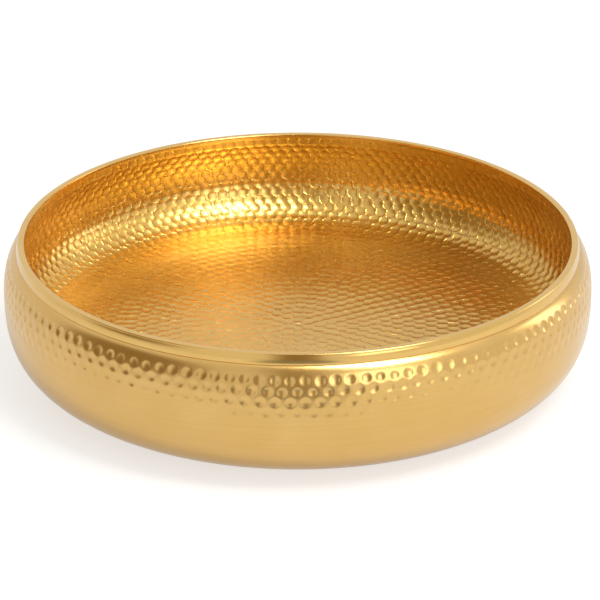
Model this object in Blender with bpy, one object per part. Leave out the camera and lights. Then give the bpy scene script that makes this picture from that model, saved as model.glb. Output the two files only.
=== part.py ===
"""A double-walled spun brass tray: a round, shallow bowl with a bellied wall and a capped rim.

Four pieces make it: an outer shell, an inner liner whose turned-out lip hangs on the shell's
lip, a rim ring whose groove caps both lips, and a plug in the vent hole of the base.
Every piece is turned about +Z. The origin is the middle of the surface the tray stands on.
"""

import math

import bmesh
import bpy
from mathutils import Vector

# Overall sizes
HEIGHT = 0.095
BELLY_RADIUS = 0.200
BELLY_HEIGHT = 0.059
RIM_RADIUS = 0.191
BASE_RADIUS = 0.122

# Outer shell
SHELL_WALL = 0.0012
LOWER_FULLNESS = 2.86
SHOULDER_FULLNESS = 2.4
FOOT_LAND = 0.020
BASE_KICK = 0.0020
KICK_RUN = 0.0040

# Inner liner
LINER_WALL = 0.0012
FLOOR_HEIGHT = 0.0275
FLOOR_RADIUS = 0.150
BELLY_AIR = 0.0033
COVE_FULLNESS = 2.2

# Rim ring
RING_WEB = 0.00125
RING_CAP = 0.0020
RING_SKIRT = 0.0066
RING_INNER_SKIRT = 0.0035
RING_EDGE = 0.0008

# Vent hole and its plug
VENT_RADIUS = 0.0025
PLUG_HEAD_RADIUS = 0.0050
PLUG_HEAD = 0.0012
PLUG_BARB_RADIUS = 0.0034
PLUG_BARB = 0.0020

# Clearance between pieces that touch on the real tray
FIT = 0.0003

# Fineness
TURN_STEPS = 72
PLUG_STEPS = 24
BELLY_STEPS = 9
SHOULDER_STEPS = 5
COVE_STEPS = 8
FLARE_STEPS = 4
EDGE_STEPS = 3

# Where the two lips stand in the ring's groove, outside to inside
SHELL_LIP_RADIUS = RIM_RADIUS - RING_WEB - FIT
LINER_LIP_RADIUS = SHELL_LIP_RADIUS - SHELL_WALL - FIT - LINER_WALL
RING_INNER_RADIUS = LINER_LIP_RADIUS - FIT - RING_WEB

# Levels in the rim, from the top down
GROOVE_TOP = HEIGHT - RING_CAP
LINER_LIP_TOP = GROOVE_TOP - FIT
SHELL_LIP_TOP = LINER_LIP_TOP - LINER_WALL - FIT
SHOULDER_TOP = HEIGHT - RING_SKIRT - FIT
FLARE_TOP = SHOULDER_TOP - SHELL_WALL - 2 * FIT

# The liner's widest place lies level with the belly, with air between the walls
LINER_RADIUS = BELLY_RADIUS - SHELL_WALL - BELLY_AIR

BRASS = (0.83, 0.60, 0.27, 1.0)
DEEP_BRASS = (0.80, 0.53, 0.20, 1.0)
POLISHED_BRASS = (0.88, 0.68, 0.36, 1.0)
RUBBER = (0.05, 0.05, 0.05, 1.0)


def clear_scene():
    """Remove every object that the file opened with."""
    for thing in list(bpy.data.objects):
        bpy.data.objects.remove(thing, do_unlink=True)


def finish(name, colour, roughness, metallic):
    """One plain material."""
    material = bpy.data.materials.new(name)
    material.use_nodes = True
    shader = material.node_tree.nodes["Principled BSDF"]
    shader.inputs["Base Color"].default_value = colour
    shader.inputs["Roughness"].default_value = roughness
    shader.inputs["Metallic"].default_value = metallic
    return material


def superellipse(centre, reach, fullness, start, end, steps):
    """Points of a superellipse about centre, from one angle to another; fullness 2 is an ellipse."""
    points = []
    for step in range(steps + 1):
        angle = math.radians(start + (end - start) * step / steps)
        across = abs(math.cos(angle)) ** (2 / fullness) * math.copysign(1, math.cos(angle))
        up = abs(math.sin(angle)) ** (2 / fullness) * math.copysign(1, math.sin(angle))
        points.append((centre[0] + reach[0] * across, centre[1] + reach[1] * up))
    points[0] = snap_to_axes(points[0], centre, reach, start)
    points[-1] = snap_to_axes(points[-1], centre, reach, end)
    return points


def snap_to_axes(point, centre, reach, degrees):
    """The exact end of a quarter turn, free of rounding."""
    quarter = {
        0: (reach[0], 0),
        90: (0, reach[1]),
        -90: (0, -reach[1]),
    }.get(degrees)
    return point if quarter is None else (centre[0] + quarter[0], centre[1] + quarter[1])


def wall(face, thickness):
    """The other face of a sheet: the line moved to its left by the thickness, with mitred corners."""
    moved = []
    for index, point in enumerate(face):
        here = Vector(point)
        before = here - Vector(face[index - 1]) if index else None
        after = Vector(face[index + 1]) - here if index < len(face) - 1 else None
        before = (before or after).normalized()
        after = (after or before).normalized()
        normal = (Vector((-before.y, before.x)) + Vector((-after.y, after.x))).normalized()
        reach = thickness / normal.dot(Vector((-before.y, before.x)))
        moved.append(tuple(here + normal * reach))
    return moved


def turned(name, outline, material, steps=TURN_STEPS):
    """A closed solid made by turning an outline of (radius, height) about +Z."""
    mesh = bpy.data.meshes.new(name)
    shape = bmesh.new()
    corners = [shape.verts.new((radius, 0, height)) for radius, height in outline]
    sides = [shape.edges.new((corners[i - 1], corners[i])) for i in range(len(corners))]
    if outline[0][0] == 0:
        shape.edges.remove(sides.pop(0))
    bmesh.ops.spin(
        shape,
        geom=corners + sides,
        cent=(0, 0, 0),
        axis=(0, 0, 1),
        angle=2 * math.pi,
        steps=steps,
        use_merge=True,
    )
    bmesh.ops.remove_doubles(shape, verts=shape.verts, dist=1e-6)
    bmesh.ops.dissolve_degenerate(shape, edges=shape.edges, dist=1e-7)
    bmesh.ops.recalc_face_normals(shape, faces=shape.faces)
    shape.to_mesh(mesh)
    shape.free()
    mesh.materials.append(material)
    mesh.shade_smooth()
    mesh.set_sharp_from_angle(angle=math.radians(30))
    piece = bpy.data.objects.new(name, mesh)
    bpy.context.scene.collection.objects.link(piece)
    return piece


def outer_shell(material):
    """The outer wall: kicked-up base, flat land, full belly, shoulder and upright lip."""
    land_inner = BASE_RADIUS - FOOT_LAND
    base = [
        (VENT_RADIUS, BASE_KICK),
        (land_inner - KICK_RUN, BASE_KICK),
        (land_inner, 0),
    ]
    belly = superellipse(
        (BASE_RADIUS, BELLY_HEIGHT),
        (BELLY_RADIUS - BASE_RADIUS, BELLY_HEIGHT),
        LOWER_FULLNESS,
        -90,
        0,
        BELLY_STEPS,
    )
    shoulder = superellipse(
        (SHELL_LIP_RADIUS, BELLY_HEIGHT),
        (BELLY_RADIUS - SHELL_LIP_RADIUS, SHOULDER_TOP - BELLY_HEIGHT),
        SHOULDER_FULLNESS,
        0,
        90,
        SHOULDER_STEPS,
    )
    outside = base + belly + shoulder[1:] + [(SHELL_LIP_RADIUS, SHELL_LIP_TOP)]
    inside = wall(outside, SHELL_WALL)
    return turned("outer_shell", outside + inside[::-1], material)


def inner_liner(material):
    """The inner wall: flat floor, cove, flare and the lip turned out over the shell's lip."""
    cove = superellipse(
        (FLOOR_RADIUS, BELLY_HEIGHT),
        (LINER_RADIUS - FLOOR_RADIUS, BELLY_HEIGHT - FLOOR_HEIGHT),
        COVE_FULLNESS,
        -90,
        0,
        COVE_STEPS,
    )
    flare = []
    for step in range(1, FLARE_STEPS + 1):
        rise = step / FLARE_STEPS
        radius = LINER_RADIUS - (LINER_RADIUS - LINER_LIP_RADIUS) * rise**2
        flare.append((radius, BELLY_HEIGHT + (FLARE_TOP - BELLY_HEIGHT) * rise))
    inside = [(0, FLOOR_HEIGHT)] + cove + flare
    outside = wall(inside, -LINER_WALL)
    outside[0] = (0, outside[0][1])
    outside[-1] = (LINER_LIP_RADIUS + LINER_WALL, outside[-1][1])
    lip = [
        (LINER_LIP_RADIUS, LINER_LIP_TOP),
        (SHELL_LIP_RADIUS, LINER_LIP_TOP),
        (SHELL_LIP_RADIUS, LINER_LIP_TOP - LINER_WALL),
        (LINER_LIP_RADIUS + LINER_WALL, LINER_LIP_TOP - LINER_WALL),
    ]
    return turned("inner_liner", inside + lip + outside[::-1], material)


def rounded_corner(corner, across, up):
    """A quarter round of the ring's edge radius that turns from an upright side to a level one."""
    middle = (corner[0] - across * RING_EDGE, corner[1] - up * RING_EDGE)
    turn = [math.radians(90 * step / EDGE_STEPS) for step in range(EDGE_STEPS + 1)]
    return [
        (middle[0] + across * RING_EDGE * math.cos(a), middle[1] + up * RING_EDGE * math.sin(a))
        for a in turn
    ]


def rim_ring(material):
    """The rim: a turned ring with a groove underneath that caps both lips."""
    outer_bottom = HEIGHT - RING_SKIRT
    inner_bottom = HEIGHT - RING_INNER_SKIRT
    outline = [(RIM_RADIUS - RING_WEB, outer_bottom), (RIM_RADIUS, outer_bottom)]
    outline += rounded_corner((RIM_RADIUS, HEIGHT), 1, 1)
    outline += rounded_corner((RING_INNER_RADIUS, HEIGHT), -1, 1)[::-1]
    outline += [
        (RING_INNER_RADIUS, inner_bottom),
        (RING_INNER_RADIUS + RING_WEB, inner_bottom),
        (RING_INNER_RADIUS + RING_WEB, GROOVE_TOP),
        (RIM_RADIUS - RING_WEB, GROOVE_TOP),
    ]
    return turned("rim_ring", outline, material)


def vent_plug(material):
    """The plug that closes the vent hole: a flat head in the kick, a shank and a barb inside."""
    head_top = BASE_KICK - FIT
    shank = VENT_RADIUS - FIT
    barb_bottom = BASE_KICK + SHELL_WALL + FIT
    outline = [
        (0, head_top - PLUG_HEAD),
        (PLUG_HEAD_RADIUS, head_top - PLUG_HEAD),
        (PLUG_HEAD_RADIUS, head_top),
        (shank, head_top),
        (shank, barb_bottom),
        (PLUG_BARB_RADIUS, barb_bottom),
        (shank, barb_bottom + PLUG_BARB),
        (0, barb_bottom + PLUG_BARB),
    ]
    return turned("vent_plug", outline, material, PLUG_STEPS)


def main():
    """Build the tray."""
    clear_scene()
    outer_shell(finish("spun_brass", BRASS, 0.28, 1.0))
    inner_liner(finish("liner_brass", DEEP_BRASS, 0.26, 1.0))
    rim_ring(finish("polished_brass", POLISHED_BRASS, 0.16, 1.0))
    vent_plug(finish("black_rubber", RUBBER, 0.75, 0.0))


if __name__ == "__main__":
    main()
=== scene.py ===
"""The looks of a double-walled hammered brass tray, laid out as an add-on and run as a script.

Lengths are in metres. Every wall is turned about +Z. A wall's line runs from the axis, or from the
vent hole, to its lip, and a place on it is a distance along that line.
"""

import math

import bmesh
import bpy
import numpy as np
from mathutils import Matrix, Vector


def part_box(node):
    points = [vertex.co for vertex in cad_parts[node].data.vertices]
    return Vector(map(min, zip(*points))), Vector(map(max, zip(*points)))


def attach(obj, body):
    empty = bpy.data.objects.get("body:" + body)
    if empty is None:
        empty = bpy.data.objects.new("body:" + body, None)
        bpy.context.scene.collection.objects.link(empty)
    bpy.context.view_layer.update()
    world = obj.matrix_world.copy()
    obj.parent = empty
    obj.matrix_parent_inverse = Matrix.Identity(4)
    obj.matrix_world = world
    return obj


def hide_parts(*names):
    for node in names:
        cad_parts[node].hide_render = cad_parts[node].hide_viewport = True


bl_info = {
    "name": "Hammered Brass Tray",
    "version": (1, 0, 0),
    "blender": (4, 5, 0),
    "location": "View3D > Sidebar > Tray",
    "description": "Builds the hammered walls, the rim band and the studio of a brass tray",
    "category": "Object",
}

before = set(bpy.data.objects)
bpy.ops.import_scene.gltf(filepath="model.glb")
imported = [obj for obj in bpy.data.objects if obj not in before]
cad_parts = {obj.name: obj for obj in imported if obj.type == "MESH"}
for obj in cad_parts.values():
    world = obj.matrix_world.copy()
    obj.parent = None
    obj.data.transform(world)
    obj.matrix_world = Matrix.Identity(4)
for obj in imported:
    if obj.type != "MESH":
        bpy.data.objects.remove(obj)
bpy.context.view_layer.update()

SHELL_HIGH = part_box("outer_shell")[1]
LINER_LOW, LINER_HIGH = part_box("inner_liner")
RING_LOW, RING_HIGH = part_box("rim_ring")

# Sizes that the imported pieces' boxes give
HEIGHT = RING_HIGH.z
BELLY_RADIUS = SHELL_HIGH.x
RIM_RADIUS = RING_HIGH.x
SHELL_LIP_TOP = SHELL_HIGH.z
LINER_LIP_TOP = LINER_HIGH.z
RING_SKIRT_BOTTOM = RING_LOW.z

# Sizes of the design that the boxes don't give
FIT = 0.0003
SHEET = 0.0012
RING_WEB = 0.00125
RING_INNER_SKIRT = 0.0035
RING_CAP = 0.0020
BELLY_HEIGHT = 0.059
BASE_RADIUS = 0.1285
FOOT_LAND = 0.0265
BASE_KICK = 0.0020
KICK_RUN = 0.0040
VENT_RADIUS = 0.0025
FLOOR_RADIUS = 0.163
LOWER_FULLNESS = 2.86
SHOULDER_MIDDLE = 0.1865
SHOULDER_RISE = 0.0298
SHOULDER_FULLNESS = 2.2
SHOULDER_END = 79.2
COVE_FULLNESS = 2.0

FLOOR_HEIGHT = LINER_LOW.z + SHEET
LINER_RADIUS = LINER_HIGH.x - SHEET
SHELL_LIP_RADIUS = RIM_RADIUS - RING_WEB - FIT
LINER_LIP_RADIUS = SHELL_LIP_RADIUS - 2 * SHEET - FIT
RING_INNER_RADIUS = LINER_LIP_RADIUS - FIT - RING_WEB
SHOULDER_TOP = RING_SKIRT_BOTTOM - FIT
FLARE_TOP = SHOULDER_TOP - SHEET - 2 * FIT

# Fineness: facets round one mark, and bands of faces across one ring of marks
INSIDE_FACETS = 6
WALL_CUTS = 4
FLOOR_CUTS = 3
BELT_FACETS = 12
BELT_CUTS = 9
RIM_STEPS = 360
HIDDEN_STEPS = 72

FLOOR_SIZE = 12.0


class TrayInside(bpy.types.PropertyGroup):
    """Hammer marks of the inner wall"""

    wall_marks: bpy.props.IntProperty(
        name="Wall Marks",
        description="How many marks one ring on the wall has",
        default=150,
        min=12,
    )
    top_height: bpy.props.FloatProperty(
        name="Top Ring Height",
        description="Height of the middle of the top ring, which is struck more lightly",
        default=0.0884,
        unit="LENGTH",
    )
    top_share: bpy.props.FloatProperty(
        name="Top Share",
        description="Depth of the marks of the top ring, as a share of the others on the wall",
        default=0.4,
        min=0.0,
        max=1.0,
    )
    floor_share: bpy.props.FloatProperty(
        name="Floor Share",
        description="Depth of the marks on the floor, as a share of those on the wall",
        default=0.65,
        min=0.0,
        max=1.0,
    )
    mark_pitch: bpy.props.FloatProperty(
        name="Floor Mark Pitch",
        description="Distance between the marks in one ring on the floor",
        default=0.0078,
        min=0.004,
        unit="LENGTH",
    )
    row_pitch: bpy.props.FloatProperty(
        name="Floor Ring Pitch",
        description="Distance between two rings of marks on the floor",
        default=0.0078,
        min=0.004,
        unit="LENGTH",
    )
    wall_pitch: bpy.props.FloatProperty(
        name="Wall Ring Pitch",
        description="Distance between two rings of marks on the wall",
        default=0.0063,
        min=0.004,
        unit="LENGTH",
    )
    mark_radius: bpy.props.FloatProperty(
        name="Mark Radius",
        description="How far a mark reaches from its middle",
        default=0.0039,
        min=0.001,
        unit="LENGTH",
    )
    mark_depth: bpy.props.FloatProperty(
        name="Mark Depth",
        description="How deep the middle of a mark is sunk",
        default=0.00042,
        min=0.0,
        unit="LENGTH",
    )


class TrayOutside(bpy.types.PropertyGroup):
    """Hammer marks of the belt round the outer wall"""

    marks: bpy.props.IntProperty(
        name="Marks",
        description="How many marks one ring of the belt has",
        default=130,
        min=12,
    )
    rows: bpy.props.IntProperty(
        name="Rings",
        description="How many rings of marks the belt has",
        default=4,
        min=1,
    )
    row_pitch: bpy.props.FloatProperty(
        name="Ring Pitch",
        description="Distance between two rings of marks",
        default=0.0070,
        min=0.004,
        unit="LENGTH",
    )
    first_height: bpy.props.FloatProperty(
        name="First Ring Height",
        description="Height of the middle of the top ring",
        default=0.0798,
        min=0.0,
        unit="LENGTH",
    )
    mark_radius: bpy.props.FloatProperty(
        name="Mark Radius",
        description="How far a mark reaches from its middle",
        default=0.0034,
        min=0.001,
        unit="LENGTH",
    )
    mark_depth: bpy.props.FloatProperty(
        name="Mark Depth",
        description="How deep the middle of a mark is sunk",
        default=0.00062,
        min=0.0,
        unit="LENGTH",
    )


class TrayFinish(bpy.types.PropertyGroup):
    """Colours of the metal and the rubber"""

    shell_colour: bpy.props.FloatVectorProperty(
        name="Outer Brass",
        description="Colour of the outer wall",
        subtype="COLOR",
        size=4,
        min=0.0,
        max=1.0,
        default=(0.80, 0.51, 0.165, 1.0),
    )
    liner_colour: bpy.props.FloatVectorProperty(
        name="Inner Brass",
        description="Colour of the inner wall",
        subtype="COLOR",
        size=4,
        min=0.0,
        max=1.0,
        default=(0.81, 0.51, 0.125, 1.0),
    )
    rim_colour: bpy.props.FloatVectorProperty(
        name="Rim Brass",
        description="Colour of the rim band",
        subtype="COLOR",
        size=4,
        min=0.0,
        max=1.0,
        default=(0.86, 0.555, 0.17, 1.0),
    )
    rubber_colour: bpy.props.FloatVectorProperty(
        name="Rubber",
        description="Colour of the vent plug",
        subtype="COLOR",
        size=4,
        min=0.0,
        max=1.0,
        default=(0.02, 0.02, 0.022, 1.0),
    )


class TrayStage(bpy.types.PropertyGroup):
    """Camera, lamps and floor"""

    elevation: bpy.props.FloatProperty(
        name="Camera Elevation",
        description="Angle of the view above the horizon, at the middle of the mouth",
        default=math.radians(23.27),
        subtype="ANGLE",
    )
    distance: bpy.props.FloatProperty(
        name="Camera Distance",
        description="Distance from the camera to the middle of the mouth",
        default=2.108,
        unit="LENGTH",
    )
    field_width: bpy.props.FloatProperty(
        name="Field Width",
        description="Width of the view at the middle of the mouth",
        default=0.4072,
        unit="LENGTH",
    )
    aim_drop: bpy.props.FloatProperty(
        name="Aim Drop",
        description="How far below the mouth, across the view, the camera aims",
        default=0.0446,
        unit="LENGTH",
    )
    aim_right: bpy.props.FloatProperty(
        name="Aim Right",
        description="How far to the right of the axis the camera aims",
        default=0.0015,
        unit="LENGTH",
    )
    room: bpy.props.FloatVectorProperty(
        name="Dark Patches",
        description="What the metal mirrors in the two darker patches of the room",
        subtype="COLOR",
        size=4,
        min=0.0,
        soft_max=1.0,
        default=(0.28, 0.20, 0.10, 1.0),
    )
    ceiling: bpy.props.FloatVectorProperty(
        name="Studio Walls",
        description="What the metal mirrors everywhere else",
        subtype="COLOR",
        size=4,
        min=0.0,
        soft_max=2.0,
        default=(0.80, 0.78, 0.74, 1.0),
    )
    floor_colour: bpy.props.FloatVectorProperty(
        name="Floor",
        description="Colour of the floor",
        subtype="COLOR",
        size=4,
        min=0.0,
        max=1.0,
        default=(0.45, 0.45, 0.45, 1.0),
    )


# ---------------------------------------------------------------- lines and walls


class Line:
    """The outline of a wall's face, read by the distance along it."""

    def __init__(self, points, softness=0.0):
        points = np.array(points, float)
        steps = np.hypot(*np.diff(points, axis=0).T)
        along = np.concatenate([[0], np.cumsum(steps)])
        self.length = along[-1]
        self.along = np.linspace(0, self.length, 4000)
        self.radius = np.interp(self.along, along, points[:, 0])
        self.height = np.interp(self.along, along, points[:, 1])
        if softness:
            self.soften(softness)

    def soften(self, softness):
        """Round the corners off, and leave the two ends where they are."""
        width = max(3, int(softness / self.length * len(self.along)) | 1)
        window = np.hanning(width + 2)[1:-1]
        window /= window.sum()
        for name in ("radius", "height"):
            values = getattr(self, name)
            before = 2 * values[0] - values[width:0:-1]
            after = 2 * values[-1] - values[-2 : -width - 2 : -1]
            padded = np.concatenate([before, values, after])
            setattr(self, name, np.convolve(padded, window, "same")[width : width + len(values)])

    def at(self, place):
        """Radius and height at one distance along the line."""
        radius = np.interp(place, self.along, self.radius)
        return float(radius), float(np.interp(place, self.along, self.height))

    def side(self, place):
        """The unit vectors to the line's left, as radius and height, at many places."""
        across = np.interp(place, self.along, np.gradient(self.radius, self.along))
        up = np.interp(place, self.along, np.gradient(self.height, self.along))
        size = np.hypot(across, up)
        return -up / size, across / size

    def place_of_height(self, height, start):
        """The first distance past start at which the line is that high."""
        late = self.along >= start
        return float(np.interp(height, self.height[late], self.along[late]))


def quarter(centre, reach, fullness, start, end, steps=60):
    """Points on a superellipse about centre; fullness 2 is an ellipse."""
    points = []
    for step in range(steps + 1):
        angle = math.radians(start + (end - start) * step / steps)
        cosine, sine = math.cos(angle), math.sin(angle)
        across = math.copysign(abs(cosine) ** (2 / fullness), cosine)
        up = math.copysign(abs(sine) ** (2 / fullness), sine)
        points.append((centre[0] + reach[0] * across, centre[1] + reach[1] * up))
    return points


def liner_line():
    """The inner wall's seen face: floor, cove, flare and lip."""
    points = [(0, FLOOR_HEIGHT)]
    points += quarter(
        (FLOOR_RADIUS, BELLY_HEIGHT),
        (LINER_RADIUS - FLOOR_RADIUS, BELLY_HEIGHT - FLOOR_HEIGHT),
        COVE_FULLNESS,
        -90,
        0,
    )
    for step in range(1, 31):
        rise = step / 30
        radius = LINER_RADIUS - (LINER_RADIUS - LINER_LIP_RADIUS) * rise**2
        points.append((radius, BELLY_HEIGHT + (FLARE_TOP - BELLY_HEIGHT) * rise))
    points.append((LINER_LIP_RADIUS, LINER_LIP_TOP))
    return Line(points, softness=0.004)


def shell_line():
    """The outer wall's seen face: kick, land, belly, shoulder and lip."""
    land_inner = BASE_RADIUS - FOOT_LAND
    points = [(VENT_RADIUS, BASE_KICK), (land_inner - KICK_RUN, BASE_KICK), (land_inner, 0)]
    points += quarter(
        (BASE_RADIUS, BELLY_HEIGHT),
        (BELLY_RADIUS - BASE_RADIUS, BELLY_HEIGHT),
        LOWER_FULLNESS,
        -90,
        0,
    )
    points += quarter(
        (SHOULDER_MIDDLE, BELLY_HEIGHT),
        (BELLY_RADIUS - SHOULDER_MIDDLE, SHOULDER_RISE),
        SHOULDER_FULLNESS,
        0,
        SHOULDER_END,
    )[1:]
    points.append((SHELL_LIP_RADIUS, SHELL_LIP_TOP))
    return Line(points)


def turn_band(shape, points, places, steps):
    """Turn a short run of points about +Z and add them, with their places along the line."""
    band, place_layer = new_shape()
    last = len(points) - 1
    bmesh.ops.create_grid(band, x_segments=steps, y_segments=last, size=0.5)
    turns = [2 * math.pi * step / steps for step in range(steps)]
    for corner in band.verts:
        step = round((corner.co.x + 0.5) * steps) % steps
        row = round((corner.co.y + 0.5) * last)
        radius, height = points[row]
        corner.co = (radius * math.cos(turns[step]), radius * math.sin(turns[step]), height)
        corner[place_layer] = places[row]
    bmesh.ops.remove_doubles(band, verts=band.verts, dist=1e-7)
    mesh = bpy.data.meshes.new("band")
    band.to_mesh(mesh)
    band.free()
    shape.from_mesh(mesh)
    bpy.data.meshes.remove(mesh)


def face_band(shape, line, start, end, cuts, steps):
    """One band of a wall's seen face between two places on its line."""
    places = [start + (end - start) * cut / cuts for cut in range(cuts + 1)]
    turn_band(shape, [line.at(place) for place in places], places, steps)


def open_loops(shape, along):
    """The open edge loops of the bands, keyed by their place along the line."""
    loops = {}
    for edge in shape.edges:
        if not edge.is_boundary:
            continue
        one, other = edge.verts
        if abs(one[along] - other[along]) < 1e-6:
            loops.setdefault(round(one[along] * 1e5), []).append(edge)
    return loops


def close_gaps(shape, along, pairs):
    """Join the end of each band to the start of the next."""
    loops = open_loops(shape, along)
    for pair in pairs:
        edges = []
        for place in pair:
            nearest = min(loops, key=lambda key: abs(key - place * 1e5))
            edges += loops[nearest]
        bmesh.ops.bridge_loops(shape, edges=edges)


def marks_shape(angle, place, radius, rows, reach):
    """How far each point is sunk, as a share of the depth, and how near it lies to a mark's middle.

    The second is 0 in the middle of the nearest mark, 1 on its edge and more on plain metal.
    """
    sunk = np.zeros_like(place)
    near = np.full_like(place, 2.0)
    middles = np.array([row["place"] for row in rows])
    nearest = np.abs(place[:, None] - middles[None, :]).argmin(1)
    for shift in (-1, 0, 1):
        chosen = nearest + shift
        for index in np.unique(chosen):
            if not 0 <= index < len(rows):
                continue
            here = chosen == index
            row = rows[index]
            count = row["count"]
            turn = angle[here] / (2 * math.pi) * count - row["offset"]
            mark = np.round(turn).astype(int)
            pick = mark % count
            across = (turn - mark - row["across"][pick]) * 2 * math.pi / count * radius[here]
            up = place[here] - row["place"] - row["up"][pick]
            far = (across**2 + up**2) / (reach * row["size"][pick]) ** 2
            cap = row["depth"][pick] * np.clip(1 - far, 0, None)
            sunk[here] = np.maximum(sunk[here], cap)
            near[here] = np.minimum(near[here], np.sqrt(far))
    return sunk, near


def mark_row(chance, place, count, offset, wander, share=1.0):
    """One ring of hammer marks, each a little off its place, size and depth."""
    return {
        "place": place,
        "count": count,
        "offset": offset,
        "across": chance.normal(0, wander, count),
        "up": chance.normal(0, wander * 0.007, count),
        "size": 1 + chance.normal(0, 0.05, count),
        "depth": share * (1 + chance.normal(0, 0.12, count)),
    }


def sink_marks(mesh, line, rows, reach, depth, first, last):
    """Press the marks into a wall's seen face, between two places on its line.

    A positive depth sinks them to the line's right, a negative one to its left.
    """
    count = len(mesh.vertices)
    points = np.empty(count * 3, np.float32)
    mesh.vertices.foreach_get("co", points)
    points = points.reshape(-1, 3).astype(float)
    place = np.empty(count, np.float32)
    mesh.attributes["along"].data.foreach_get("value", place)
    inside = (place > first) & (place < last)
    place = place[inside].astype(float)
    across, up = line.side(place)
    x, y = points[inside, 0], points[inside, 1]
    radius = np.hypot(x, y)
    angle = np.arctan2(y, x) % (2 * math.pi)
    sunk, near = marks_shape(angle, place, radius, rows, reach)
    sunk *= depth
    bearing = np.stack([np.cos(angle), np.sin(angle)], 1)
    points[inside, :2] -= bearing * (across * sunk)[:, None]
    points[inside, 2] -= up * sunk
    mesh.vertices.foreach_set("co", points.astype(np.float32).ravel())
    nearness = np.full(count, 2.0, np.float32)
    nearness[inside] = near
    mesh.attributes.new("near", "FLOAT", "POINT").data.foreach_set("value", nearness)
    mesh.update()


def finished(name, shape, material, sharp=40):
    """Turn a bmesh into a piece that rides on the tray."""
    bmesh.ops.remove_doubles(shape, verts=shape.verts, dist=1e-6)
    bmesh.ops.dissolve_degenerate(shape, edges=shape.edges, dist=1e-7)
    bmesh.ops.recalc_face_normals(shape, faces=shape.faces)
    mesh = bpy.data.meshes.new(name)
    shape.to_mesh(mesh)
    shape.free()
    mesh.materials.append(material)
    mesh.shade_smooth()
    mesh.set_sharp_from_angle(angle=math.radians(sharp))
    piece = bpy.data.objects.new(name, mesh)
    bpy.context.scene.collection.objects.link(piece)
    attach(piece, "root")
    return piece


def new_shape():
    """An empty bmesh with a layer for the place along the wall's line."""
    shape = bmesh.new()
    return shape, shape.verts.layers.float.new("along")


# ---------------------------------------------------------------- materials


class Nodes:
    """A short way to write the nodes of a material or a world."""

    def __init__(self, owner):
        owner.use_nodes = True
        self.tree = owner.node_tree
        self.shader = self.tree.nodes.get("Principled BSDF")

    def add(self, kind, settings=None, **inputs):
        """A new node with its settings and inputs; an input i0 is the first one."""
        node = self.tree.nodes.new(kind)
        for name, value in (settings or {}).items():
            setattr(node, name, value)
        for name, value in inputs.items():
            key = int(name[1:]) if name[0] == "i" and name[1:].isdigit() else name.replace("_", " ")
            socket = self.socket(node, key)
            if isinstance(value, bpy.types.NodeSocket):
                self.tree.links.new(value, socket)
            else:
                socket.default_value = value
        return node

    def socket(self, node, key):
        """The usable socket of that name; some nodes keep a hidden one for each kind of data."""
        if isinstance(key, int):
            return node.inputs[key]
        return next(socket for socket in node.inputs if socket.name == key and socket.enabled)

    def maths(self, operation, *values):
        """The result of one sum on its values."""
        settings = {"operation": operation}
        inputs = {f"i{index}": value for index, value in enumerate(values)}
        return self.add("ShaderNodeMath", settings, **inputs).outputs[0]

    def result(self, node):
        """The output in use of a node that keeps one for each kind of data."""
        return next(socket for socket in node.outputs if socket.enabled)

    def link(self, value, socket):
        """Feed a value to the shader."""
        self.tree.links.new(value, self.shader.inputs[socket])


def turned_coordinates(nodes, radial, level, round_about):
    """Coordinates that run round the axis: lines along them are turning or brushing lines."""
    place = nodes.add("ShaderNodeTexCoord").outputs["Object"]
    split = nodes.add("ShaderNodeSeparateXYZ", Vector=place)
    x, y, z = split.outputs
    squares = nodes.maths("MULTIPLY_ADD", x, x, nodes.maths("MULTIPLY", y, y))
    radius = nodes.maths("SQRT", squares)
    bearing = nodes.maths("ARCTAN2", y, x)
    return nodes.add(
        "ShaderNodeCombineXYZ",
        X=nodes.maths("MULTIPLY", radius, radial),
        Y=nodes.maths("MULTIPLY", z, level),
        Z=nodes.maths("MULTIPLY", bearing, round_about),
    ).outputs[0]


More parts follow.
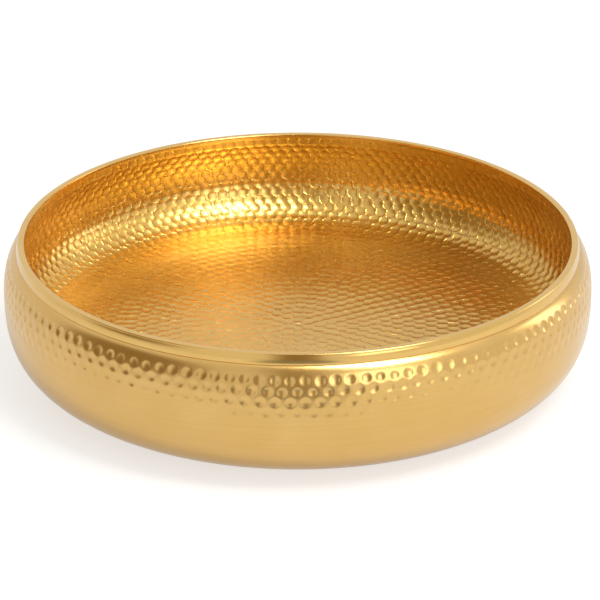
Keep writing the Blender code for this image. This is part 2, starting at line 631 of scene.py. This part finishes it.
def brass(name, colour, rough, line_pitch, line_depth, streak, edge=0.0):
    """Lacquered brass: mottled tone, uneven gloss and fine lines that run round the axis.

    Streak is the lines' share in the tone. With an edge, the sunk marks also get a crisp step of
    that height along their outlines.
    """
    material = bpy.data.materials.new(name)
    nodes = Nodes(material)
    nodes.shader.inputs["Metallic"].default_value = 1.0
    nodes.shader.inputs["Coat Weight"].default_value = 0.5
    nodes.shader.inputs["Coat Roughness"].default_value = 0.14
    place = nodes.add("ShaderNodeTexCoord").outputs["Object"]
    lines = turned_coordinates(nodes, 1 / line_pitch, 1 / line_pitch, 3.0)
    grain = nodes.add("ShaderNodeTexNoise", Vector=lines, Scale=1.0, Detail=3.0, Roughness=0.6)
    mottle = nodes.add("ShaderNodeTexNoise", Vector=place, Scale=34.0, Detail=4.0, Roughness=0.55)
    smudge = nodes.add("ShaderNodeTexNoise", Vector=place, Scale=58.0, Detail=5.0, Roughness=0.6)

    share = nodes.maths("MULTIPLY", mottle.outputs["Fac"], 1.0 - streak)
    mixed = nodes.maths("MULTIPLY_ADD", grain.outputs["Fac"], streak, share)
    tone = nodes.add("ShaderNodeValToRGB", Fac=mixed)
    ramp = tone.color_ramp
    ramp.elements[0].position = 0.32
    ramp.elements[1].position = 0.68
    ramp.elements[0].color = [colour[0] * 0.96, colour[1] * 0.935, colour[2] * 0.86, 1.0]
    lighter = [min(1.0, share * gain) for share, gain in zip(colour[:3], (1.03, 1.045, 1.10))]
    ramp.elements[1].color = lighter + [1.0]
    nodes.link(tone.outputs["Color"], "Base Color")

    uneven = nodes.maths("MULTIPLY_ADD", smudge.outputs["Fac"], 0.10, rough - 0.05)
    nodes.link(uneven, "Roughness")
    height = grain.outputs["Fac"]
    bump = nodes.add("ShaderNodeBump", Strength=1.0, Distance=line_depth, Height=height)
    if edge:
        near = nodes.add("ShaderNodeAttribute", {"attribute_name": "near"}).outputs["Fac"]
        step = ramp_along(nodes, near, 0.80, 1.0)
        lines = bump.outputs["Normal"]
        bump = nodes.add("ShaderNodeBump", Strength=1.0, Distance=edge, Height=step, Normal=lines)
    nodes.link(bump.outputs["Normal"], "Normal")
    return material


def floor_paper(colour):
    """White paper that lights itself a little; a strip in front is darker to glossy rays only, a
    painted dark reflection that the metal mirrors.
    """
    material = bpy.data.materials.new("floor_paper")
    nodes = Nodes(material)
    shader = nodes.shader
    shader.inputs["Roughness"].default_value = 0.9
    shader.inputs["Specular IOR Level"].default_value = 0.0
    place = nodes.add("ShaderNodeTexCoord").outputs["Object"]
    x, y = nodes.add("ShaderNodeSeparateXYZ", Vector=place).outputs[:2]
    # painted dark reflection: a strip of floor in front of the tray, darkened for glossy rays only, so
    # the metal mirrors a dark patch there
    width = nodes.maths("MULTIPLY_ADD", y, -0.16, 0.05)
    narrow = ramp_along(nodes, nodes.maths("DIVIDE", nodes.maths("ABSOLUTE", x), width), 1.3, 0.6)
    strip = nodes.maths("MULTIPLY", narrow, ramp_along(nodes, y, -0.38, -0.55))
    rays = nodes.add("ShaderNodeLightPath").outputs
    strip = nodes.maths("MULTIPLY", strip, rays["Is Glossy Ray"])
    light = nodes.maths("MULTIPLY_ADD", strip, -0.70, 1.0)
    tone = nodes.add("ShaderNodeVectorMath", {"operation": "SCALE"}, i0=colour[:3], Scale=light)
    nodes.link(tone.outputs[0], "Base Color")
    glow = nodes.maths("MULTIPLY_ADD", rays["Is Camera Ray"], 0.27, 0.36)
    shader.inputs["Emission Color"].default_value = (1.0, 1.0, 1.0, 1.0)
    nodes.link(nodes.maths("MULTIPLY", glow, light), "Emission Strength")
    return material


def rubber(name, colour):
    """Matt rubber with a fine grain."""
    material = bpy.data.materials.new(name)
    nodes = Nodes(material)
    nodes.shader.inputs["Roughness"].default_value = 0.7
    place = nodes.add("ShaderNodeTexCoord").outputs["Object"]
    grain = nodes.add("ShaderNodeTexNoise", Vector=place, Scale=900.0, Detail=3.0)
    tone = nodes.add("ShaderNodeValToRGB", Fac=grain.outputs["Fac"])
    tone.color_ramp.elements[0].color = [c * 0.7 for c in colour[:3]] + [1.0]
    tone.color_ramp.elements[1].color = [c * 1.5 for c in colour[:3]] + [1.0]
    nodes.link(tone.outputs["Color"], "Base Color")
    bump = nodes.add("ShaderNodeBump", Strength=0.6, Distance=0.0002, Height=grain.outputs["Fac"])
    nodes.link(bump.outputs["Normal"], "Normal")
    return material


# ---------------------------------------------------------------- pieces


class TRAY_OT_inner_wall(bpy.types.Operator):
    """Build the inner wall: rings of overlapping hammer marks from the floor's middle to the lip"""

    bl_idname = "tray.inner_wall"
    bl_label = "Inner Wall"

    def execute(self, context):
        setting = context.scene.tray_inside
        line = liner_line()
        shape, along = new_shape()
        chance = np.random.default_rng(11)
        middles = self.middles(setting, line)
        rows, pairs, last = [], [], 0.0
        for index, middle in enumerate(middles):
            pitch = middle - middles[index - 1] if index else middles[1]
            count = max(1, round(2 * math.pi * line.at(middle)[0] / setting.mark_pitch))
            on_wall = middle > FLOOR_RADIUS + 0.006
            if on_wall:
                count = setting.wall_marks
            cuts = WALL_CUTS if on_wall else FLOOR_CUTS
            share = 1.0 if on_wall else setting.floor_share
            if index == len(middles) - 1:
                share = setting.top_share
            rows.append(mark_row(chance, middle, count, 0.5 * (index % 2), 0.05, share))
            reach = 0.5 * pitch * cuts / (cuts + 1)
            start = middle - reach if index else 0.0
            end = middle + reach
            steps = max(12, INSIDE_FACETS * count)
            face_band(shape, line, start, end, cuts if index else 2, steps)
            if index:
                pairs.append((last, start))
            last = end
        lip_start = last + 0.0006
        face_band(shape, line, lip_start, line.length, 2, INSIDE_FACETS * rows[-1]["count"])
        pairs.append((last, lip_start))
        back, back_places = self.back(line)
        turn_band(shape, back, back_places, HIDDEN_STEPS)
        pairs.append((line.length, back_places[0]))
        bmesh.ops.remove_doubles(shape, verts=shape.verts, dist=1e-6)
        close_gaps(shape, along, pairs)
        finish = context.scene.tray_finish
        material = brass(
            "liner_brass",
            finish.liner_colour,
            rough=0.27,
            line_pitch=0.002,
            line_depth=0.000003,
            streak=0.1,
            edge=0.00022,
        )
        piece = finished("inner_wall", shape, material)
        sink_marks(
            piece.data, line, rows, setting.mark_radius, setting.mark_depth, -1.0, line.length - 0.0012
        )
        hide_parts("inner_liner")
        return {"FINISHED"}

    def middles(self, setting, line):
        """Where the rings of marks lie: wide apart on the floor, closer on the wall."""
        top = line.place_of_height(setting.top_height, FLOOR_RADIUS)
        middles = [0.0]
        while middles[-1] < top:
            share = min(1.0, max(0.0, (middles[-1] - FLOOR_RADIUS) / 0.03))
            pitch = setting.row_pitch + (setting.wall_pitch - setting.row_pitch) * share
            middles.append(middles[-1] + pitch)
        return [middle * top / middles[-1] for middle in middles]

    def back(self, line):
        """The lip's turned-out flange and the hidden face, back to the axis."""
        points = [
            (SHELL_LIP_RADIUS, LINER_LIP_TOP),
            (SHELL_LIP_RADIUS, LINER_LIP_TOP - SHEET),
            (LINER_LIP_RADIUS + SHEET, LINER_LIP_TOP - SHEET),
        ]
        for place in np.linspace(line.length - 0.008, 0.0, 26):
            radius, height = line.at(place)
            across, up = line.side(np.array([place]))
            points.append((max(0.0, radius - across[0] * SHEET), height - up[0] * SHEET))
        points[-1] = (0.0, FLOOR_HEIGHT - SHEET)
        places = [line.length + 1 + 0.01 * number for number in range(len(points))]
        return points, places


class TRAY_OT_outer_wall(bpy.types.Operator):
    """Build the outer wall: smooth belly and shoulder with a belt of round hammer marks"""

    bl_idname = "tray.outer_wall"
    bl_label = "Outer Wall"

    def execute(self, context):
        setting = context.scene.tray_outside
        line = shell_line()
        shape, along = new_shape()
        chance = np.random.default_rng(23)
        pitch = setting.row_pitch
        top = line.place_of_height(setting.first_height, BASE_RADIUS)
        rows = []
        for number in range(setting.rows):
            share = 0.6 if number == setting.rows - 1 else 1.0
            offset = 0.5 * (number % 2)
            rows.append(mark_row(chance, top - number * pitch, setting.marks, offset, 0.035, share))
        rows.reverse()
        belt_start = rows[0]["place"] - 0.6 * pitch
        belt_end = rows[-1]["place"] + 0.6 * pitch
        steps = BELT_FACETS * setting.marks
        face_band(shape, line, belt_start, belt_end, BELT_CUTS * setting.rows, steps)
        plain = 2 * setting.marks
        face_band(shape, line, 0.0, belt_start - 0.001, 48, plain)
        face_band(shape, line, belt_end + 0.0005, line.length, 20, plain)
        back, back_places = self.back(line)
        turn_band(shape, back, back_places, HIDDEN_STEPS)
        bmesh.ops.remove_doubles(shape, verts=shape.verts, dist=1e-6)
        close_gaps(
            shape,
            along,
            [
                (belt_start - 0.001, belt_start),
                (belt_end, belt_end + 0.0005),
                (line.length, back_places[0]),
                (0.0, back_places[-1]),
            ],
        )
        finish = context.scene.tray_finish
        material = brass(
            "shell_brass",
            finish.shell_colour,
            rough=0.25,
            line_pitch=0.0014,
            line_depth=0.000012,
            streak=0.5,
        )
        piece = finished("outer_wall", shape, material)
        sink_marks(
            piece.data, line, rows, setting.mark_radius, -setting.mark_depth, belt_start, belt_end
        )
        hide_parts("outer_shell")
        return {"FINISHED"}

    def back(self, line):
        """The hidden face of the outer wall, from the lip down to the vent hole."""
        points = []
        for place in np.linspace(line.length, 0.0, 40):
            radius, height = line.at(place)
            across, up = line.side(np.array([place]))
            points.append((radius + across[0] * SHEET, height + up[0] * SHEET))
        points[0] = (SHELL_LIP_RADIUS - SHEET, SHELL_LIP_TOP)
        points[-1] = (VENT_RADIUS, BASE_KICK + SHEET)
        places = [line.length + 1 + 0.01 * number for number in range(len(points))]
        return points, places


class TRAY_OT_rim(bpy.types.Operator):
    """Build the rim band: a polished ring with soft edges and a groove underneath"""

    bl_idname = "tray.rim"
    bl_label = "Rim Band"

    def execute(self, context):
        shape, _ = new_shape()
        edge, facets, lean = 0.0008, 6, 0.0012
        foot = RING_SKIRT_BOTTOM - 0.0006
        outline = [(RIM_RADIUS - RING_WEB, RING_SKIRT_BOTTOM)]
        outline += self.corner(RIM_RADIUS, foot, 1, -1, 0.0003, 3)[::-1]
        foot += 0.0003
        for step in range(1, 8):
            rise = step / 7
            outline.append((RIM_RADIUS - lean * rise**2, foot + (HEIGHT - edge - foot) * rise))
        outline += self.corner(RIM_RADIUS - lean, HEIGHT, 1, 1, edge, facets)[1:]
        outline += self.corner(RING_INNER_RADIUS, HEIGHT, -1, 1, edge, facets)[::-1]
        bottom = HEIGHT - RING_INNER_SKIRT
        outline += self.corner(RING_INNER_RADIUS, bottom, -1, -1, 0.0003, 3)
        outline += [
            (RING_INNER_RADIUS + RING_WEB, bottom),
            (RING_INNER_RADIUS + RING_WEB, HEIGHT - RING_CAP),
            (RIM_RADIUS - RING_WEB, HEIGHT - RING_CAP),
        ]
        outline.append(outline[0])
        turn_band(shape, outline, [0.0] * len(outline), RIM_STEPS)
        finish = context.scene.tray_finish
        material = brass(
            "rim_brass",
            finish.rim_colour,
            rough=0.17,
            line_pitch=0.0008,
            line_depth=0.000004,
            streak=0.4,
        )
        piece = finished("rim_band", shape, material)
        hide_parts("rim_ring")
        return {"FINISHED"}

    def corner(self, radius, height, across, up, edge, facets):
        """A rounded corner, from its upright side to its level side."""
        points = []
        for step in range(facets + 1):
            angle = math.radians(90 * step / facets)
            points.append(
                (
                    radius - across * edge * (1 - math.cos(angle)),
                    height - up * edge * (1 - math.sin(angle)),
                )
            )
        return points


class TRAY_OT_plug(bpy.types.Operator):
    """Give the vent plug its rubber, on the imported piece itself"""

    bl_idname = "tray.plug"
    bl_label = "Vent Plug"

    def execute(self, context):
        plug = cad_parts["vent_plug"]
        plug.data.materials.clear()
        plug.data.materials.append(rubber("plug_rubber", context.scene.tray_finish.rubber_colour))
        return {"FINISHED"}


# ---------------------------------------------------------------- stage


def ramp_along(nodes, value, low, high):
    """A soft step from 0 at low to 1 at high."""
    return nodes.add(
        "ShaderNodeMapRange",
        {"interpolation_type": "SMOOTHSTEP"},
        Value=value,
        From_Min=low,
        From_Max=high,
    ).outputs["Result"]


def dark_patch(nodes, facing, middle, edge, core):
    """1 in the core of a round patch of the room, 0 past its edge; both are cosines."""
    middle = Vector(middle).normalized()
    near = nodes.add("ShaderNodeVectorMath", {"operation": "DOT_PRODUCT"}, i0=facing, i1=middle)
    return ramp_along(nodes, near.outputs["Value"], edge, core)


def world_light(setting):
    """A white studio to the eye; to the metal, a pale room, darker on the left and in front."""
    world = bpy.data.worlds.new("studio")
    bpy.context.scene.world = world
    nodes = Nodes(world)
    facing = nodes.add("ShaderNodeTexCoord").outputs["Generated"]
    left = dark_patch(nodes, facing, (-0.86, -0.30, 0.42), 0.82, 0.95)
    x, y = nodes.add("ShaderNodeSeparateXYZ", Vector=facing).outputs[:2]
    narrow = ramp_along(nodes, nodes.maths("ABSOLUTE", x), 0.22, 0.08)
    front = nodes.maths("MULTIPLY", narrow, ramp_along(nodes, y, -0.15, -0.40))
    dark = nodes.maths("MAXIMUM", left, front)
    pale = nodes.maths("SUBTRACT", 1.0, dark)
    shade = nodes.add("ShaderNodeMix", {"data_type": "RGBA"}, Factor=pale)
    nodes.socket(shade, "A").default_value = setting.room
    nodes.socket(shade, "B").default_value = setting.ceiling
    seen = nodes.add("ShaderNodeLightPath").outputs["Is Camera Ray"]
    shown = nodes.add("ShaderNodeMix", {"data_type": "RGBA"}, Factor=seen)
    nodes.tree.links.new(nodes.result(shade), nodes.socket(shown, "A"))
    nodes.socket(shown, "B").default_value = (1.0, 1.0, 1.0, 1.0)
    background = nodes.tree.nodes["Background"]
    nodes.tree.links.new(nodes.result(shown), background.inputs["Color"])
    return world


def area_lamp(name, place, target, size, radiance, colour=(1.0, 1.0, 1.0)):
    """A soft rectangular lamp that faces a point, as bright to look at as radiance."""
    data = bpy.data.lights.new(name, "AREA")
    data.shape = "RECTANGLE"
    data.size, data.size_y = size
    data.energy = math.pi * size[0] * size[1] * radiance
    data.color = colour
    lamp = bpy.data.objects.new(name, data)
    lamp.location = place
    lamp.rotation_euler = (Vector(target) - Vector(place)).to_track_quat("-Z", "Y").to_euler()
    bpy.context.scene.collection.objects.link(lamp)
    return lamp


class TRAY_OT_stage(bpy.types.Operator):
    """Build the pale floor, the studio light and the camera"""

    bl_idname = "tray.stage"
    bl_label = "Studio"

    def execute(self, context):
        setting = context.scene.tray_stage
        self.floor(setting)
        world_light(setting)
        self.lamps()
        self.camera(setting)
        context.scene.view_settings.view_transform = "Standard"
        return {"FINISHED"}

    def floor(self, setting):
        """A pale floor, wide enough to fill the view from every side."""
        shape = bmesh.new()
        bmesh.ops.create_grid(shape, x_segments=1, y_segments=1, size=FLOOR_SIZE / 2)
        mesh = bpy.data.meshes.new("floor")
        shape.to_mesh(mesh)
        shape.free()
        mesh.materials.append(floor_paper(setting.floor_colour))
        floor = bpy.data.objects.new("floor", mesh)
        bpy.context.scene.collection.objects.link(floor)

    def lamps(self):
        """A key lamp high on the front right, a low one in front and a strip on the right."""
        middle = (0.0, 0.0, 0.05)
        area_lamp("key", (0.62, -0.56, 1.66), middle, (0.62, 1.0), 9.0)
        area_lamp("front_right", (0.95, -1.50, 0.75), middle, (0.75, 0.95), 1.7)
        area_lamp("right_strip", (1.7, 0.55, 0.65), middle, (0.5, 0.9), 2.0)

    def camera(self, setting):
        """The view from the front, a little above the mouth."""
        data = bpy.data.cameras.new("camera")
        camera = bpy.data.objects.new("camera", data)
        bpy.context.scene.collection.objects.link(camera)
        bpy.context.scene.camera = camera
        back = Vector((0.0, -math.cos(setting.elevation), math.sin(setting.elevation)))
        up = Vector((0.0, math.sin(setting.elevation), math.cos(setting.elevation)))
        mouth = Vector((0.0, 0.0, HEIGHT))
        camera.location = mouth + back * setting.distance
        aim = mouth - up * setting.aim_drop + Vector((setting.aim_right, 0.0, 0.0))
        camera.rotation_euler = (aim - camera.location).to_track_quat("-Z", "Y").to_euler()
        data.sensor_width = 36.0
        data.lens = data.sensor_width * setting.distance / setting.field_width
        data.clip_start = 0.05
        data.clip_end = 50.0


class TRAY_PT_panel(bpy.types.Panel):
    """The tray's steps, in order"""

    bl_label = "Brass Tray"
    bl_space_type = "VIEW_3D"
    bl_region_type = "UI"
    bl_category = "Tray"

    def draw(self, context):
        for step in STEPS:
            self.layout.operator(step.bl_idname)


STEPS = (TRAY_OT_inner_wall, TRAY_OT_outer_wall, TRAY_OT_rim, TRAY_OT_plug, TRAY_OT_stage)
SETTINGS = {
    "tray_inside": TrayInside,
    "tray_outside": TrayOutside,
    "tray_finish": TrayFinish,
    "tray_stage": TrayStage,
}


def register():
    """Add the settings, the steps and the panel to Blender."""
    for name, group in SETTINGS.items():
        bpy.utils.register_class(group)
        setattr(bpy.types.Scene, name, bpy.props.PointerProperty(type=group))
    for item in (*STEPS, TRAY_PT_panel):
        bpy.utils.register_class(item)


def unregister():
    """Take them away again."""
    for item in reversed((*STEPS, TRAY_PT_panel)):
        bpy.utils.unregister_class(item)
    for name, group in SETTINGS.items():
        delattr(bpy.types.Scene, name)
        bpy.utils.unregister_class(group)


def main():
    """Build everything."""
    register()
    bpy.ops.tray.inner_wall()
    bpy.ops.tray.outer_wall()
    bpy.ops.tray.rim()
    bpy.ops.tray.plug()
    bpy.ops.tray.stage()


if __name__ == "__main__":
    main()
